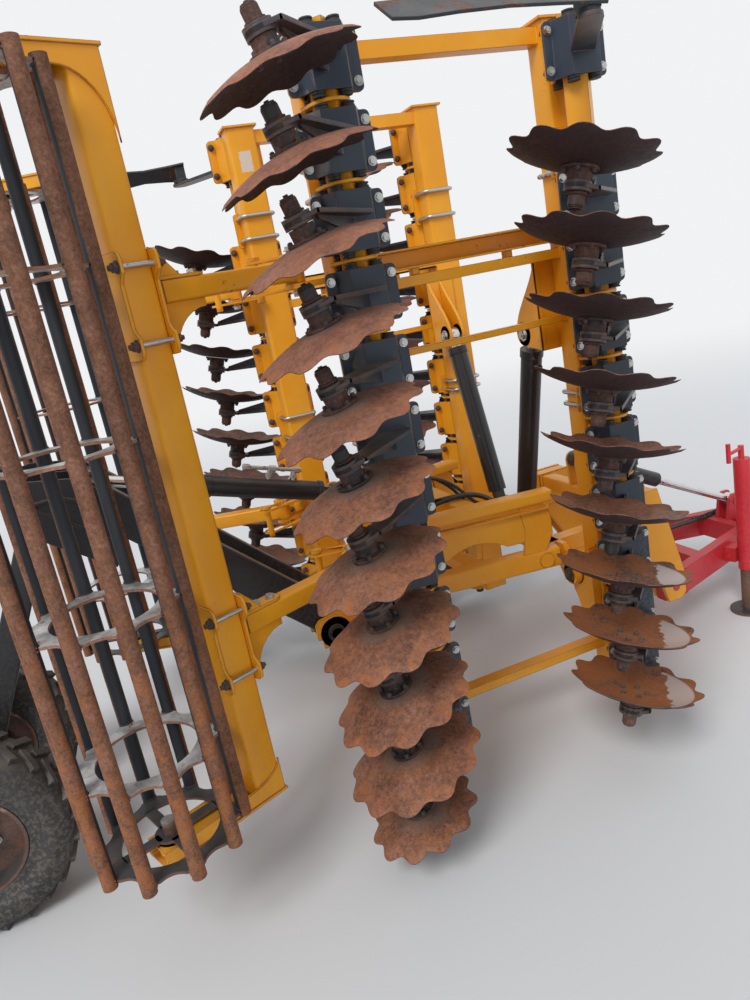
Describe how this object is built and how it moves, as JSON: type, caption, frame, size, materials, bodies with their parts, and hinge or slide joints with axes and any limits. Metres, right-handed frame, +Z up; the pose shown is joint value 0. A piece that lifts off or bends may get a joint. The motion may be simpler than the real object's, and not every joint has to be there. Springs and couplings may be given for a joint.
{
  "type": "folding disc harrow",
  "caption": "Trailed folding disc harrow, wings folded upright, with scalloped discs, cage rollers, transport wheels and a red drawbar.",
  "frame": {"origin": "on the ground, in the machine's middle plane, halfway along the length over drawbar and wheels", "axes": "+Y towards the drawbar, +X the machine's right, +Z up"},
  "size_m": [2.6302, 5.26, 2.9065],
  "materials": {
    "frame_paint": "orange-yellow paint, worn at edges, light rust and dirt",
    "graphite_paint": "dark blue-grey paint, dusty",
    "black_paint": "black paint",
    "disc_rust": "rusty rolled steel",
    "tube_rust": "rusty tube steel, dark paint left inside",
    "hub_iron": "dark dirty castings",
    "bare_steel": "pale worn steel",
    "chrome_rod": "polished rod",
    "rubber": "black rubber",
    "tyre_rubber": "tyre rubber",
    "red_paint": "red paint"
  },
  "bodies": {
    "frame": {"centre_frame": "frame_paint"},
    "wing_right": {"wing_frame_right": "frame_paint", "row_tubes_right": "frame_paint", "clamp_shells_right": "frame_paint", "disc_arms_right": "graphite_paint", "rubber_cords_right": "rubber", "disc_hubs_right": "hub_iron", "discs_right": "disc_rust", "side_blade_right": "hub_iron"},
    "wing_left": {"wing_frame_left": "frame_paint", "row_tubes_left": "frame_paint", "clamp_shells_left": "frame_paint", "disc_arms_left": "graphite_paint", "rubber_cords_left": "rubber", "disc_hubs_left": "hub_iron", "discs_left": "disc_rust", "side_blade_left": "hub_iron"},
    "roller_frame_right": {"roller_frame_right": "frame_paint"},
    "roller_right": {"roller_cage_right": "tube_rust", "roller_rings_right": "bare_steel"},
    "roller_frame_left": {"roller_frame_left": "frame_paint"},
    "roller_left": {"roller_cage_left": "tube_rust", "roller_rings_left": "bare_steel"},
    "fold_barrel_right": {"fold_barrel_right": "black_paint"},
    "fold_rod_right": {"fold_rod_right": "chrome_rod"},
    "fold_barrel_left": {"fold_barrel_left": "black_paint"},
    "fold_rod_left": {"fold_rod_left": "chrome_rod"},
    "carriage": {"carriage_frame": "black_paint"},
    "lift_barrel": {"lift_barrel": "black_paint"},
    "lift_rod": {"lift_rod": "chrome_rod"},
    "wheel_right": {"rim_right": "bare_steel", "tyre_right": "tyre_rubber"},
    "wheel_left": {"rim_left": "bare_steel", "tyre_left": "tyre_rubber"},
    "drawbar": {"drawbar": "red_paint", "jack_sleeve": "red_paint"},
    "draw_barrel": {"draw_barrel": "black_paint"},
    "draw_rod": {"draw_rod": "chrome_rod"},
    "jack_leg": {"jack_leg": "bare_steel"}
  },
  "joints": [
    {"name": "wing_right_fold", "type": "hinge", "parent": "frame", "child": "wing_right", "pos_m": [0.5, 0.08, 0.64], "axis": [0, 1, 0], "range_deg": [0, 90]},
    {"name": "fold_barrel_right_turn", "type": "hinge", "parent": "frame", "child": "fold_barrel_right", "pos_m": [0.12, 0.445, 0.85], "axis": [0, 1, 0], "range_deg": [0, 77.39]},
    {"name": "fold_rod_right_slide", "type": "slide", "parent": "fold_barrel_right", "child": "fold_rod_right", "axis": [0.2775, 0, 0.9607], "range_m": [0, 0.5564]},
    {"name": "roller_right_depth", "type": "hinge", "parent": "wing_right", "child": "roller_frame_right", "pos_m": [0.56, -0.62, 1.5], "axis": [0, 0, 1], "range_deg": [-6, 6]},
    {"name": "roller_right_spin", "type": "hinge", "parent": "roller_frame_right", "child": "roller_right", "pos_m": [0.93236, -1.54162, 1.5], "axis": [0, 0, 1], "continuous": true},
    {"name": "wing_left_fold", "type": "hinge", "parent": "frame", "child": "wing_left", "pos_m": [-0.5, 0.08, 0.64], "axis": [0, -1, 0], "range_deg": [0, 90]},
    {"name": "fold_barrel_left_turn", "type": "hinge", "parent": "frame", "child": "fold_barrel_left", "pos_m": [-0.12, 0.445, 0.85], "axis": [0, -1, 0], "range_deg": [0, 77.39]},
    {"name": "fold_rod_left_slide", "type": "slide", "parent": "fold_barrel_left", "child": "fold_rod_left", "axis": [-0.2775, 0, 0.9607], "range_m": [0, 0.5564]},
    {"name": "roller_left_depth", "type": "hinge", "parent": "wing_left", "child": "roller_frame_left", "pos_m": [-0.56, -0.62, 1.5], "axis": [0, 0, -1], "range_deg": [-6, 6]},
    {"name": "roller_left_spin", "type": "hinge", "parent": "roller_frame_left", "child": "roller_left", "pos_m": [-0.93236, -1.54162, 1.5], "axis": [0, 0, 1], "continuous": true},
    {"name": "carriage_lift", "type": "hinge", "parent": "frame", "child": "carriage", "pos_m": [0, -0.68, 0.64], "axis": [-1, 0, 0], "range_deg": [0, 25]},
    {"name": "lift_barrel_turn", "type": "hinge", "parent": "frame", "child": "lift_barrel", "pos_m": [0, -0.47, 1.19], "axis": [-1, 0, 0], "range_deg": [0, 27.91]},
    {"name": "lift_rod_slide", "type": "slide", "parent": "lift_barrel", "child": "lift_rod", "axis": [0, -0.9523, 0.3051], "range_m": [-0.2509, 0]},
    {"name": "wheel_right_spin", "type": "hinge", "parent": "carriage", "child": "wheel_right", "pos_m": [0.38, -2.25, 0.38], "axis": [1, 0, 0], "continuous": true},
    {"name": "wheel_left_spin", "type": "hinge", "parent": "carriage", "child": "wheel_left", "pos_m": [-0.38, -2.25, 0.38], "axis": [1, 0, 0], "continuous": true},
    {"name": "drawbar_pitch", "type": "hinge", "parent": "frame", "child": "drawbar", "pos_m": [0, 1.08, 0.33], "axis": [1, 0, 0], "range_deg": [-8, 8]},
    {"name": "draw_barrel_turn", "type": "hinge", "parent": "frame", "child": "draw_barrel", "pos_m": [0, 0.86, 1.01], "axis": [1, 0, 0], "range_deg": [-9, 9]},
    {"name": "draw_rod_slide", "type": "slide", "parent": "draw_barrel", "child": "draw_rod", "axis": [0, 0.8944, -0.4472], "range_m": [-0.2, 0.2]},
    {"name": "jack_leg_slide", "type": "slide", "parent": "drawbar", "child": "jack_leg", "axis": [0, 0, 1], "range_m": [0, 0.2]}
  ],
  "couplings": [
    {"joint": "fold_barrel_right_turn", "follows": "wing_right_fold", "ratio": 0.85937},
    {"joint": "fold_rod_right_slide", "follows": "wing_right_fold", "m_per_rad": 0.35391},
    {"joint": "fold_barrel_left_turn", "follows": "wing_left_fold", "ratio": 0.85937},
    {"joint": "fold_rod_left_slide", "follows": "wing_left_fold", "m_per_rad": 0.35391},
    {"joint": "lift_barrel_turn", "follows": "carriage_lift", "ratio": 1.1144},
    {"joint": "lift_rod_slide", "follows": "carriage_lift", "m_per_rad": -0.57391},
    {"joint": "draw_barrel_turn", "follows": "drawbar_pitch", "ratio": 0.56494},
    {"joint": "draw_rod_slide", "follows": "drawbar_pitch", "m_per_rad": -0.52899}
  ]
}
